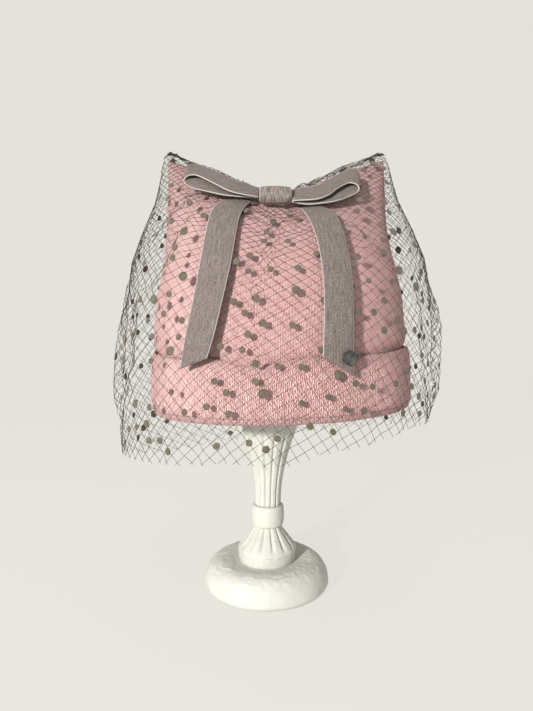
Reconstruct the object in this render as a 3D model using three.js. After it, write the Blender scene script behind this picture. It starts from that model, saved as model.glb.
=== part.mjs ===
// A knit hat with cat-ear corners, a dotted net veil and a velvet bow, on a white stand.
// Millimetres, +Z up, the front faces -Y. The origin is the centre of the stand's flat foot.
import * as THREE from "three";
import { mergeVertices } from "three/addons/utils/BufferGeometryUtils.js";

// ---------------------------------------------------------------- driving dimensions
const GAP = 0.3; // kept between pieces that touch

const STAND = {
  baseRadius: 50,
  baseTop: 19, // floor of the shallow dish that the stem's foot stands in
  footTop: 47.5,
  bandTop: 64.5,
  cupTop: 165,
  flutes: 12,
  lean: 0.018, // sideways shift of the stem for each millimetre of height
  postRadius: 9,
};

const HAT = {
  x: 11.4, // the hat sits a little right of the stand
  rimHeight: 144, // of the turned-up edge above the floor
  ridge: 174, // middle of the top seam above the rim
  earRise: 26, // the ears above the middle of the seam
  earHalfSpan: 88,
  seamFlat: 14, // the seam is level this far either side of its middle
  slopeAtRim: 0.03, // the rim rises to the right by this much a millimetre
  drift: 0.02, // and the hat leans left by this much
  wall: 3.2,
};

const CUFF = {
  halfWidth: 102.5,
  halfDepth: 90,
  leaf: 4.4, // thickness of the turned-up leaf
  heightAtSides: 46.6,
  heightAtFront: 38,
  ribs: 60,
  ribDepth: 1.1,
};

const VEIL = {
  thickness: 1.2,
  bar: 3.6, // width of a bar of the net
  columns: 28,
  rowRises: [1, 0.955, 0.875, 0.76, 0.62, 0.47, 0.31, 0.155, 0], // where the bars cross
  hem: -27.6, // the cut edge against the rim
  hemSlope: 0.053, // it rises to the right
  folds: 7,
  earLift: 1.19, // its corners stand above the ears
};

const RIBBON = { width: 20, thickness: 1.1 };

// Half the crown's width and depth at a share of its height from the rim to the top seam.
const CROWN_SECTIONS = [
  { rise: 0.0, halfWidth: 96.5, halfDepth: 84 },
  { rise: 0.19, halfWidth: 96.5, halfDepth: 84 },
  { rise: 0.25, halfWidth: 100, halfDepth: 86.5 },
  { rise: 0.38, halfWidth: 98.5, halfDepth: 84.5 },
  { rise: 0.5, halfWidth: 94.5, halfDepth: 79.5 },
  { rise: 0.61, halfWidth: 90.5, halfDepth: 71 },
  { rise: 0.71, halfWidth: 88.5, halfDepth: 60.5 },
  { rise: 0.8, halfWidth: 88, halfDepth: 49 },
  { rise: 0.87, halfWidth: 88, halfDepth: 37 },
  { rise: 0.93, halfWidth: 88, halfDepth: 24 },
  { rise: 0.97, halfWidth: 88, halfDepth: 11.5 },
  { rise: 1.0, halfWidth: 88, halfDepth: 0 },
];

// The same for the veil, from its cut edge to the seam. It hugs the front and stands off the sides.
const VEIL_SECTIONS = [
  { rise: 0.0, halfWidth: 123, halfDepth: 99 },
  { rise: 0.125, halfWidth: 124.5, halfDepth: 98.5 },
  { rise: 0.25, halfWidth: 125.5, halfDepth: 98 },
  { rise: 0.375, halfWidth: 125, halfDepth: 96.5 },
  { rise: 0.5, halfWidth: 123, halfDepth: 92.5 },
  { rise: 0.6, halfWidth: 119, halfDepth: 86 },
  { rise: 0.7, halfWidth: 111, halfDepth: 75.5 },
  { rise: 0.8, halfWidth: 102, halfDepth: 61 },
  { rise: 0.875, halfWidth: 97.5, halfDepth: 46 },
  { rise: 0.93, halfWidth: 94, halfDepth: 33 },
  { rise: 0.955, halfWidth: 93, halfDepth: 27.5 },
  { rise: 1.0, halfWidth: 90, halfDepth: 0 },
];

// ---------------------------------------------------------------- materials
const knit = new THREE.MeshStandardMaterial({ color: 0xe8a9a8, roughness: 0.95 });
const ribKnit = new THREE.MeshStandardMaterial({ color: 0xe0a09f, roughness: 0.95 });
const net = new THREE.MeshStandardMaterial({ color: 0x3b3634, roughness: 0.8 });
const velvet = new THREE.MeshStandardMaterial({ color: 0x918780, roughness: 0.75 });
const plaster = new THREE.MeshStandardMaterial({ color: 0xf0eee4, roughness: 0.7 });
const gunmetal = new THREE.MeshStandardMaterial({ color: 0x3d4442, roughness: 0.4, metalness: 0.9 });

// ---------------------------------------------------------------- helpers
const vec = (x, y, z) => new THREE.Vector3(x, y, z);
const { lerp, smoothstep } = THREE.MathUtils;

function finish(geometry) {
  const merged = mergeVertices(geometry, 1e-3);
  merged.computeVertexNormals();
  return merged;
}

// Closed rings of points, one after another. A ring of one repeated point closes an end, and
// "loop" joins the last ring to the first.
function skin(rings, loop = false) {
  const count = rings[0].length;
  const index = [];
  const last = loop ? rings.length : rings.length - 1;
  for (let r = 0; r < last; r++) {
    const next = (r + 1) % rings.length;
    for (let i = 0; i < count; i++) {
      const j = (i + 1) % count;
      const [a, b, c, d] = [r * count + i, r * count + j, next * count + j, next * count + i];
      index.push(a, b, c, a, c, d);
    }
  }
  const geometry = new THREE.BufferGeometry().setFromPoints(rings.flat());
  geometry.setIndex(index);
  return finish(geometry);
}

// A ring about the vertical axis whose radius follows the turn.
function ring(z, radiusAt, sides) {
  return Array.from({ length: sides }, (_, i) => {
    const turn = (2 * Math.PI * i) / sides;
    const radius = radiusAt(turn);
    return vec(radius * Math.cos(turn), radius * Math.sin(turn), z);
  });
}

function lathe(profile, segments) {
  const points = profile.map(([radius, z]) => new THREE.Vector2(radius, z));
  const geometry = new THREE.LatheGeometry(points, segments);
  geometry.deleteAttribute("normal");
  geometry.deleteAttribute("uv");
  geometry.rotateX(Math.PI / 2);
  return finish(geometry);
}

// The row of a section table at a share of the height, with the stretches between rows eased.
function sectionAt(table, rise) {
  const k = Math.max(1, table.findIndex((row) => row.rise >= rise - 1e-9));
  const [a, b] = [table[k - 1], table[k]];
  const share = (rise - a.rise) / (b.rise - a.rise);
  return {
    halfWidth: lerp(a.halfWidth, b.halfWidth, share),
    halfDepth: lerp(a.halfDepth, b.halfDepth, share),
  };
}

// The hat sits a little askew: its rim rises to the right and its top leans left.
function settle(p) {
  const lift = HAT.slopeAtRim * p.x * (1 - p.z / (HAT.ridge + HAT.earRise));
  return vec(p.x - HAT.drift * p.z, p.y, p.z + lift);
}

// The top seam is level in the middle and climbs to the ears.
function seamHeight(x) {
  const span = HAT.earHalfSpan - HAT.seamFlat;
  const climb = THREE.MathUtils.clamp((Math.abs(x) - HAT.seamFlat) / span, 0, 1);
  return HAT.earRise * climb * (1.15 - 0.15 * climb);
}

// ---------------------------------------------------------------- crown
const CUFF_FLOOR = 1.5; // top of the fold, less the wall's thickness
const sag = (along) => 2 * Math.pow(Math.abs(along), 1.5); // the rim hangs lower front and back

// A point of the crown at a turn about the head and a share of the height. The dent runs from
// the seam down and out, between the head and each ear.
function crownPoint(turn, rise, inset) {
  const { halfWidth, halfDepth } = sectionAt(CROWN_SECTIONS, rise);
  const [across, along] = [Math.cos(turn), Math.sin(turn)];
  const seamX = HAT.earHalfSpan * across;
  const top = HAT.ridge + seamHeight(seamX) - inset;
  const bottom = HAT.wall + CUFF_FLOOR - sag(along);
  const dent = 5 * Math.exp(-Math.pow((Math.abs(across) - 0.8) / 0.13, 2));
  const dentHere = dent * smoothstep(rise, 0.45, 0.75) * (1 - smoothstep(rise, 0.9, 1));
  const depth = Math.max(0, halfDepth - inset) - dentHere * Math.abs(along);
  return settle(
    vec((halfWidth - inset) * across, Math.max(0, depth) * along, lerp(bottom, top, rise)),
  );
}


function crownGeometry() {
  const sides = 60;
  const rises = CROWN_SECTIONS.map((row) => row.rise);
  const at = (rise, inset) =>
    Array.from({ length: sides }, (_, i) => crownPoint((2 * Math.PI * i) / sides, rise, inset));
  const inside = [1, 0.97, 0.93, 0.8, 0.61, 0.38, 0].map((rise) => at(rise, HAT.wall));
  const outside = rises.map((rise) => at(rise, 0));
  return skin([...inside, ...outside]);
}

// ---------------------------------------------------------------- cuff
// The turned-up leaf and the fold under the crown's edge: inset from the outer face, and height.
function cuffSection(top) {
  const { leaf } = CUFF;
  const floor = CUFF_FLOOR + HAT.wall - GAP;
  const inner = leaf + GAP + HAT.wall;
  return [
    { inset: 0.4, z: 3.5, rib: 1 },
    { inset: 0, z: top * 0.3, rib: 1 },
    { inset: 0, z: top - 4, rib: 1 },
    { inset: 1, z: top, rib: 0.6 },
    { inset: leaf - 0.8, z: top, rib: 0 },
    { inset: leaf, z: top - 3, rib: 0 },
    { inset: leaf, z: floor, rib: 0 },
    { inset: inner, z: floor, rib: 0 },
    { inset: inner - 1, z: 1, rib: 0 },
    { inset: inner / 2, z: -0.8, rib: 0 },
  ];
}

function cuffGeometry() {
  const columns = 2 * CUFF.ribs;
  const rings = Array.from({ length: columns }, (_, i) => {
    const turn = (-2 * Math.PI * i) / columns;
    const [across, along] = [Math.cos(turn), Math.sin(turn)];
    const share = Math.pow(Math.abs(along), 1.5);
    const top = lerp(CUFF.heightAtSides, CUFF.heightAtFront, share);
    const valley = i % 2 ? CUFF.ribDepth : 0;
    return cuffSection(top).map(({ inset, z, rib }) => {
      const inward = inset + rib * valley;
      const x = (CUFF.halfWidth - inward) * across;
      const y = (CUFF.halfDepth - inward) * along;
      return settle(vec(x, y, z - sag(along) * (1 - Math.max(0, z - 5) / top)));
    });
  });
  return skin(rings, true);
}

// ---------------------------------------------------------------- veil
// The folds are deepest at the cut edge and at the sides, where the net stands off the hat.
function veilPoint(turn, rise, inset) {
  const { halfWidth, halfDepth } = sectionAt(VEIL_SECTIONS, rise);
  const [across, along] = [Math.cos(turn), Math.sin(turn)];
  const fold = 3.5 * (1 - smoothstep(rise, 0.1, 0.9)) * Math.cos(VEIL.folds * turn);
  const out = fold * (0.25 + 0.75 * Math.abs(across)) - inset;
  const seam = HAT.ridge + GAP + VEIL.thickness + VEIL.earLift * seamHeight(HAT.earHalfSpan * across);
  const x = (halfWidth + out) * across;
  const y = Math.max(0, halfDepth + (rise < 1 ? out : 0)) * along;
  const hem = VEIL.hem + VEIL.hemSlope * x;
  return settle(vec(x, y, lerp(hem, seam - inset, rise)));
}

// The net is a lattice of diamonds. Bars cross at the even places of a grid of columns and rows,
// a gap lies about each odd place, and the top row's gaps straddle the seam.
function veilGeometry() {
  const { columns, rowRises, thickness, bar } = VEIL;
  const rows = rowRises.length - 1;
  const points = [];
  const index = [];
  const known = new Map();
  const rimEdges = new Map();

  function corner(column, row, inset) {
    const back = row < 0;
    const turn = (2 * Math.PI * (back ? -column : column)) / columns;
    const above = Math.min(rows - 1, Math.floor(Math.abs(row)));
    const rise = lerp(rowRises[above], rowRises[above + 1], Math.abs(row) - above);
    const p = veilPoint(turn, rise, inset);
    const key = [p.x, p.y, p.z].map((v) => Math.round(1000 * v)).join();
    if (!known.has(key)) known.set(key, points.push(p) - 1);
    return known.get(key);
  }
  const quad = (a, b, c, d) => index.push(a, b, c, a, c, d);

  // One gap and the halves of the bars round it: corners as columns and rows from its middle.
  function cell(column, row, rim, hole) {
    const layer = (inset) => {
      const at = ([across, down]) => corner(column + across, row + down, inset);
      return { rim: rim.map(at), hole: hole.map(at) };
    };
    const [outer, inner] = [layer(0), layer(thickness)];
    rim.forEach((_, k) => {
      const n = (k + 1) % rim.length;
      quad(outer.rim[k], outer.rim[n], outer.hole[n], outer.hole[k]);
      quad(inner.rim[n], inner.rim[k], inner.hole[k], inner.hole[n]);
      quad(outer.hole[k], outer.hole[n], inner.hole[n], inner.hole[k]);
      const key = [outer.rim[k], outer.rim[n]].sort((a, b) => a - b).join();
      const wall = [outer.rim[n], outer.rim[k], inner.rim[k], inner.rim[n]];
      if (!rimEdges.delete(key)) rimEdges.set(key, wall);
    });
  }

  const narrow = bar / 36; // half a bar as a share of the way to a gap's middle
  const wide = 1 - narrow;
  const diamond = [[-1, 0], [0, 1], [1, 0], [0, -1]];
  const diamondHole = [[-wide, 0], [0, wide], [wide, 0], [0, -wide]];
  const half = [[-1, 0], [1, 0], [0, -1]];
  const halfHole = [[-wide + narrow, -narrow], [wide - narrow, -narrow], [0, -wide]];
  for (let column = 1; column < columns / 2; column += 2) cell(column, 0, diamond, diamondHole);
  for (let row = 1; row <= rows; row++) {
    const hem = row === rows;
    for (let column = (row + 1) % 2; column < columns; column += 2)
      cell(column, row, hem ? half : diamond, hem ? halfHole : diamondHole);
  }
  for (const wall of rimEdges.values()) quad(...wall);

  const geometry = new THREE.BufferGeometry().setFromPoints(points);
  geometry.setIndex(index);
  return finish(geometry);
}

// How far forward the veil's front lies at a place across and above the rim.
function veilFront(x, z) {
  let [turn, rise] = [-Math.PI / 2, 0.5];
  let p = veilPoint(turn, rise, 0);
  for (let i = 0; i < 60; i++) {
    p = veilPoint(turn, rise, 0);
    turn += 0.004 * (x - p.x);
    rise = Math.min(0.999, Math.max(0, rise + 0.003 * (z - p.z)));
  }
  return p.y;
}

// ---------------------------------------------------------------- bow
// A flat ribbon through rows of two edge points, from end to end.
function ribbonGeometry(rows) {
  const curves = ["near", "far"].map((edge) => new THREE.CatmullRomCurve3(rows.map((row) => row[edge])));
  const steps = 3 * (rows.length - 1);
  const half = RIBBON.thickness / 2;
  const rings = Array.from({ length: steps + 1 }, (_, i) => {
    const [near, far] = curves.map((curve) => curve.getPoint(i / steps));
    const along = curves[0].getTangent(i / steps).add(curves[1].getTangent(i / steps)).normalize();
    const face = along.cross(far.clone().sub(near)).normalize().multiplyScalar(half);
    return [near.clone().add(face), near.clone().sub(face), far.clone().sub(face), far.clone().add(face)];
  });
  const end = (corners) => {
    const middle = corners.reduce((sum, p) => sum.add(p), vec(0, 0, 0)).divideScalar(4);
    return corners.map(() => middle);
  };
  return skin([end(rings[0]), ...rings, end(rings[steps])]);
}

// A loop runs from the knot along the veil, turns at its tip and comes back over itself. Each row
// is the two edges of the ribbon: place across, height above the rim and distance off the veil.
const LOOP_LEFT = [
  { near: [-17, 157.5, 3.4], far: [-17, 168, 3.4] },
  { near: [-28, 157, 3.2], far: [-28, 170, 3.2] },
  { near: [-42, 157.8, 2.8], far: [-42, 171, 2.8] },
  { near: [-56, 161.7, 2.6], far: [-55, 175, 2.6] },
  { near: [-67, 165.5, 2.6], far: [-66.5, 179, 2.8] },
  { near: [-73, 171, 4.6], far: [-73.3, 184.5, 4.6] },
  { near: [-70.5, 175, 7.4], far: [-70.5, 187.5, 7.2] },
  { near: [-64.4, 175.8, 8], far: [-64.4, 188.6, 7.6] },
  { near: [-56.5, 171.6, 8], far: [-54, 184.6, 7.6] },
  { near: [-48.7, 166.5, 8], far: [-44.5, 179, 7.6] },
  { near: [-38.2, 160, 8], far: [-34, 172.5, 7.6] },
  { near: [-28, 157.5, 7.6], far: [-25.5, 170, 7.4] },
  { near: [-17, 156.5, 7], far: [-17, 167.5, 7] },
];
const LOOP_RIGHT = [
  { near: [7, 152.5, 3.4], far: [7.5, 164, 3.4] },
  { near: [17.7, 149.5, 3.2], far: [18.5, 164, 3.2] },
  { near: [28.5, 150, 2.8], far: [30, 164.5, 2.8] },
  { near: [38.3, 151.7, 2.6], far: [40.5, 166, 2.6] },
  { near: [46.8, 155.3, 2.6], far: [49.5, 170, 2.8] },
  { near: [54.8, 160, 4.6], far: [57.5, 175, 4.6] },
  { near: [54.5, 165, 7.4], far: [57, 179.5, 7.2] },
  { near: [48.5, 167, 8], far: [51, 182, 7.6] },
  { near: [39.7, 161.7, 8], far: [42.5, 177, 7.6] },
  { near: [33.6, 156.2, 8], far: [34, 171.5, 7.6] },
  { near: [25.5, 152.3, 8], far: [26, 166.5, 7.6] },
  { near: [17, 152, 7.6], far: [17.5, 166, 7.4] },
  { near: [7, 152.2, 7], far: [7.5, 164.5, 7] },
];

const loopRows = (table) =>
  table.map((row) => {
    const [near, far] = [row.near, row.far].map(([x, z, off]) => vec(x, veilFront(x, z) - off, z));
    return { near, far };
  });

// The tails lie on the veil: their two edges across, by height above the rim.
const TAIL_LEFT = [
  { z: 155, left: -43, right: -23 },
  { z: 148, left: -49, right: -27.5 },
  { z: 136, left: -52.5, right: -31 },
  { z: 105, left: -55.8, right: -34.7 },
  { z: 78, left: -59.6, right: -39.7 },
  { z: 55, left: -64.4, right: -45 },
  { z: 40.2, left: -68, right: -49.5 },
];
const TAIL_RIGHT = [
  { z: 148.2, left: 13.5, right: 29 },
  { z: 144, left: 15.5, right: 35 },
  { z: 136, left: 18.7, right: 39 },
  { z: 118, left: 23.1, right: 42.5 },
  { z: 92.5, left: 25.4, right: 44.7 },
  { z: 67.5, left: 25.2, right: 44.7 },
  { z: 41.6, left: 24.2, right: 43.8 },
];
const TAIL_CUT = { left: 7, right: 12.5 }; // the long corner of a slanted end below the short one

const STAND_OFF = 1.8; // from the veil to the middle of a tail

function tailRows(table, longEdge) {
  return table.map(({ z, left, right }, i) => {
    const cut = i === table.length - 1 ? TAIL_CUT[longEdge] : 0;
    const edge = (x, drop) => vec(x, veilFront(x, z - drop) - STAND_OFF, z - drop);
    return {
      near: edge(left, longEdge === "left" ? cut : 0),
      far: edge(right, longEdge === "right" ? cut : 0),
    };
  });
}

// The knot is a padded roll lying along the slope of the crown.
const KNOT = { x: -5, z: 158.5, off: 8, length: 23, height: 14, depth: 9.6, slope: 0.72 };

function knotGeometry() {
  const sides = 16;
  const shares = [0.84, 0.96, 1, 1, 0.96, 0.84];
  const centre = vec(KNOT.x, veilFront(KNOT.x, KNOT.z) - KNOT.off, KNOT.z);
  const rounded = (v) => Math.sign(v) * Math.pow(Math.abs(v), 0.7);
  const rings = shares.map((share, k) => {
    const x = KNOT.length * (k / (shares.length - 1) - 0.5);
    return Array.from({ length: sides }, (_, i) => {
      const turn = (2 * Math.PI * i) / sides;
      const p = vec(
        x,
        (share * KNOT.depth * rounded(Math.cos(turn))) / 2,
        (share * KNOT.height * rounded(Math.sin(turn))) / 2,
      );
      return p.applyAxisAngle(vec(-1, 0, 0), KNOT.slope).add(centre);
    });
  });
  const cap = (k) => rings[k].map(() => vec(rings[k][0].x, centre.y, centre.z));
  return skin([cap(0), ...rings, cap(shares.length - 1)]);
}

// ---------------------------------------------------------------- charm
const CHARM = { radius: 4.6, thickness: 1.7, x: 40.8, z: 40.7 };

function charmGeometry() {
  const { radius, thickness } = CHARM;
  return lathe(
    [
      [0, 0],
      [radius - 0.3, 0],
      [radius, 0.4],
      [radius, thickness - 0.4],
      [radius - 0.4, thickness],
      [radius - 1, thickness - 0.3],
      [0, thickness - 0.1],
    ],
    20,
  );
}

// ---------------------------------------------------------------- stand
function baseGeometry() {
  const { baseRadius: r, baseTop: top } = STAND;
  return lathe(
    [
      [0, 0],
      [r - 5, 0],
      [r - 1.5, 1.8],
      [r, 5],
      [r - 0.6, 9.5],
      [r - 2.6, 14.5],
      [r - 6, 19],
      [r - 10, 21.8],
      [r - 14, 22],
      [r - 19, top],
      [0, top],
    ],
    48,
  );
}

// A turned and fluted length of the stem. Each row is a radius, a height and how deep its flutes are.
function turnedGeometry(rows) {
  const sides = rows.some((row) => row.flute) ? 4 * STAND.flutes : 24;
  const rings = rows.map(({ radius, z, flute }) =>
    ring(z, (turn) => radius - flute * (0.5 - 0.5 * Math.cos(STAND.flutes * turn)), sides),
  );
  const end = ({ z }) => ring(z, () => 0, sides);
  return skin([end(rows[0]), ...rings, end(rows.at(-1))]);
}

const footRows = () => [
  { z: STAND.baseTop + GAP, radius: 22, flute: 0 },
  { z: 24, radius: 22.8, flute: 0 },
  { z: 30, radius: 23.8, flute: 0.5 },
  { z: 31.5, radius: 23, flute: 1.8 },
  { z: 36, radius: 19.5, flute: 1.8 },
  { z: 42, radius: 14, flute: 1.3 },
  { z: STAND.footTop - GAP, radius: 10.8, flute: 0.9 },
];

const bandRows = () => [
  { z: STAND.footTop, radius: 11.3, flute: 0 },
  { z: STAND.footTop + 2, radius: 12.6, flute: 0 },
  { z: 56, radius: 13.1, flute: 0 },
  { z: STAND.bandTop - 2, radius: 12.8, flute: 0 },
  { z: STAND.bandTop - GAP, radius: 11.6, flute: 0 },
];

const stemRows = () => [
  { z: STAND.bandTop, radius: 10.3, flute: 0.8 },
  { z: 80, radius: 10.9, flute: 0.9 },
  { z: 96, radius: 13.5, flute: 1.1 },
  { z: 110, radius: 17, flute: 1.3 },
  { z: 124, radius: 21.5, flute: 1.5 },
  { z: 140, radius: 26, flute: 1.4 },
  { z: 158, radius: 30.5, flute: 0.5 },
  { z: STAND.cupTop - GAP, radius: 31, flute: 0 },
];

// The plain post and saddle inside the crown, whose top carries the seam.
function restGeometry() {
  const top = HAT.rimHeight + HAT.ridge - HAT.wall - GAP - 0.4;
  const { postRadius, cupTop } = STAND;
  const saddle = { halfWidth: 50, halfDepth: 21, height: 42 };
  const under = top - saddle.height;
  const arc = Array.from({ length: 8 }, (_, i) => {
    const turn = (Math.PI / 2) * (i / 7);
    const rise = Math.sin(turn);
    const across = i < 7 ? saddle.halfWidth * Math.cos(turn) : 0;
    return [across, saddle.halfDepth * Math.pow(1 - rise, 0.8), under + saddle.height * rise];
  });
  const rows = [
    [0, 0, cupTop],
    [20, 20, cupTop],
    [20, 20, cupTop + 3],
    [postRadius, postRadius, cupTop + 7],
    [postRadius, postRadius, under - 16],
    [saddle.halfWidth * 0.5, 14, under - 8],
    [saddle.halfWidth - 3, saddle.halfDepth - 1, under - 5],
    ...arc,
  ];
  const sides = 24;
  const rings = rows.map(([halfWidth, halfDepth, z]) =>
    Array.from({ length: sides }, (_, i) => {
      const turn = (2 * Math.PI * i) / sides;
      return vec(halfWidth * Math.cos(turn), halfDepth * Math.sin(turn), z);
    }),
  );
  return skin(rings);
}

// ---------------------------------------------------------------- assembly
function piece(name, geometry, material) {
  const mesh = new THREE.Mesh(geometry, material);
  mesh.name = name;
  return mesh;
}

const leaning = new THREE.Matrix4().makeShear(0, 0, 0, 0, STAND.lean, 0);
const lean = (geometry) => geometry.applyMatrix4(leaning);

const stand = new THREE.Group();
stand.add(
  piece("stand_base", baseGeometry(), plaster),
  piece("stand_foot", lean(turnedGeometry(footRows())), plaster),
  piece("stand_band", lean(turnedGeometry(bandRows())), plaster),
  piece("stand_stem", lean(turnedGeometry(stemRows())), plaster),
);
const rest = piece("hat_rest", restGeometry(), plaster);
rest.position.x = STAND.lean * STAND.cupTop;
stand.add(rest);

const hat = new THREE.Group();
hat.position.set(HAT.x, 0, HAT.rimHeight);
hat.add(
  piece("crown", crownGeometry(), knit),
  piece("cuff", cuffGeometry(), ribKnit),
  piece("veil", veilGeometry(), net),
  piece("bow_knot", knotGeometry(), velvet),
  piece("bow_loop_left", ribbonGeometry(loopRows(LOOP_LEFT)), velvet),
  piece("bow_loop_right", ribbonGeometry(loopRows(LOOP_RIGHT)), velvet),
  piece("bow_tail_left", ribbonGeometry(tailRows(TAIL_LEFT, "left")), velvet),
  piece("bow_tail_right", ribbonGeometry(tailRows(TAIL_RIGHT, "right")), velvet),
);
const charm = piece("charm", charmGeometry(), gunmetal);
charm.rotation.x = Math.PI / 2;
charm.position.set(
  CHARM.x,
  veilFront(CHARM.x, CHARM.z) - STAND_OFF - RIBBON.thickness / 2 - 1.2,
  CHARM.z,
);
hat.add(charm);

const model = new THREE.Group();
model.add(stand, hat);

export default model;
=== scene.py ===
"""A pink knit hat with cat-ear corners, a dotted net veil and a velvet bow, on a chalky white stand."""

import math

import bpy
import numpy as np
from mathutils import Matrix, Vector


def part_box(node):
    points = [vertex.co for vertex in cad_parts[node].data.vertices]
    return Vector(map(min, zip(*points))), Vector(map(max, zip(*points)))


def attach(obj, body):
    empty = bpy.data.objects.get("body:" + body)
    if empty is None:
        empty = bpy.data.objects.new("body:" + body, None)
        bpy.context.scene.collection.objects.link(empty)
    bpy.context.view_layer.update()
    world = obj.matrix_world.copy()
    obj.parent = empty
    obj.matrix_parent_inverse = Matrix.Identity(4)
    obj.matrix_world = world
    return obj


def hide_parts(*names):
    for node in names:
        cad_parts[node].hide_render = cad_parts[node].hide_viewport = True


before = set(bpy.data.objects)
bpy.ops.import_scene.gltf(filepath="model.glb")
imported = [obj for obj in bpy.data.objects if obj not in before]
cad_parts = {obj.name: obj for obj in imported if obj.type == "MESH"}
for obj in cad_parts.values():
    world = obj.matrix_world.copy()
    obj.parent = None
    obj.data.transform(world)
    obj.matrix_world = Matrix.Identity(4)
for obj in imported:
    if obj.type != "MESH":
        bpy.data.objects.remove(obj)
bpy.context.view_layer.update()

MM = 0.001
HAT_X, RIM = 11.4, 144.0  # the hat's middle across, and its rim above the floor, in millimetres
RIDGE, EAR_RISE, EAR_HALF_SPAN, SEAM_FLAT = 174.0, 26.0, 88.0, 14.0
SLOPE_AT_RIM, DRIFT = 0.03, 0.02
WALL, GAP, CUFF_FLOOR = 3.2, 0.3, 1.5
LEAN = 0.018  # sideways shift of the stem for each millimetre of height

# Height as a share of the way from the rim to the seam, half width and half depth.
CROWN_ROWS = np.array([
    (0.0, 96.5, 84), (0.19, 96.5, 84), (0.25, 100, 86.5), (0.38, 98.5, 84.5), (0.5, 94.5, 79.5),
    (0.61, 90.5, 71), (0.71, 88.5, 60.5), (0.8, 88, 49), (0.87, 88, 37), (0.93, 88, 24),
    (0.97, 88, 11.5), (1.0, 88, 0),
])
VEIL_ROWS = np.array([
    (0.0, 123, 99), (0.125, 124.5, 98.5), (0.25, 125.5, 98), (0.375, 125, 96.5), (0.5, 123, 92.5),
    (0.6, 119, 86), (0.7, 111, 75.5), (0.8, 102, 61), (0.875, 97.5, 46), (0.93, 94, 33),
    (0.955, 93, 27.5), (1.0, 90, 0),
])
HEM, HEM_SLOPE, BACK_DROP = -27.6, 0.053, 18.0


# ---------------------------------------------------------------- selecting and editing
def deselect():
    bpy.ops.object.select_all(action="DESELECT")


def pick(piece):
    """Makes a piece the one that is selected and active."""
    deselect()
    piece.select_set(True)
    bpy.context.view_layer.objects.active = piece


def edit_mode(selecting="SELECT", kind=None):
    """Goes into edit mode with the whole mesh selected, or none of it."""
    bpy.ops.object.mode_set(mode="EDIT")
    if kind:
        bpy.ops.mesh.select_mode(type=kind)
    bpy.ops.mesh.select_all(action=selecting)


def object_mode():
    bpy.ops.object.mode_set(mode="OBJECT")


def corners_of(mesh):
    corner = np.zeros(3 * len(mesh.vertices))
    mesh.vertices.foreach_get("co", corner)
    return corner.reshape(-1, 3)


# ---------------------------------------------------------------- camera, floor and light
def set_camera():
    data = bpy.data.cameras.new("camera")
    camera = bpy.data.objects.new("camera", data)
    bpy.context.scene.collection.objects.link(camera)
    camera.location = (0.0, -0.404, 0.191)
    camera.rotation_euler = (math.radians(90), 0, 0)
    data.lens = 25.063
    data.sensor_width = 36
    data.shift_y = -0.0105
    data.clip_start = 0.01
    bpy.context.scene.camera = camera


def soft_light(name, place, aim, size, power, colour=(1, 1, 1)):
    data = bpy.data.lights.new(name, "AREA")
    data.shape, data.size, data.size_y = "RECTANGLE", size[0], size[1]
    data.energy, data.color = power, colour
    lamp = bpy.data.objects.new(name, data)
    bpy.context.scene.collection.objects.link(lamp)
    lamp.location = place
    lamp.rotation_euler = (Vector(aim) - Vector(place)).to_track_quat("-Z", "Y").to_euler()


def light_the_room():
    scene = bpy.context.scene
    scene.view_settings.view_transform = "Standard"
    world = bpy.data.worlds.new("room")
    scene.world = world
    world.use_nodes = True
    background = world.node_tree.nodes["Background"]
    background.inputs["Color"].default_value = (1, 0.992, 0.975, 1)
    background.inputs["Strength"].default_value = 0.45
    soft_light("window", (-0.66, -1.2, 0.47), (0.01, 0, 0.22), (0.09, 0.1), 25, (1, 0.985, 0.96))
    soft_light("sky_panel", (0.1, -0.5, 1.6), (0, 0, 0.1), (1.2, 1.2), 5)


def lay_backdrop(material):
    """A floor that bends up into a wall."""
    front, bend, radius, wall, half_width = -2.5, 1.6, 1.0, 3.5, 5  # metres
    floor, curve = bend - front, math.pi / 2 * radius
    deselect()
    bpy.ops.mesh.primitive_grid_add(x_subdivisions=2, y_subdivisions=40, size=2)
    sweep = bpy.context.object
    sweep.name = "backdrop"
    for v in sweep.data.vertices:
        x, t = half_width * v.co.x, (v.co.y + 1) / 2 * (floor + curve + wall)
        if t < floor:
            v.co = (x, front + t, 0)
        elif t < floor + curve:
            turn = (t - floor) / radius
            v.co = (x, bend + radius * math.sin(turn), radius * (1 - math.cos(turn)))
        else:
            v.co = (x, bend + radius, radius + t - floor - curve)
    bpy.ops.object.shade_smooth()
    sweep.data.materials.append(material)


# ---------------------------------------------------------------- material helpers
def whole(value):
    """A colour with its fourth part, or any other value as it is."""
    return (*value, 1) if isinstance(value, tuple) else value


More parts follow.
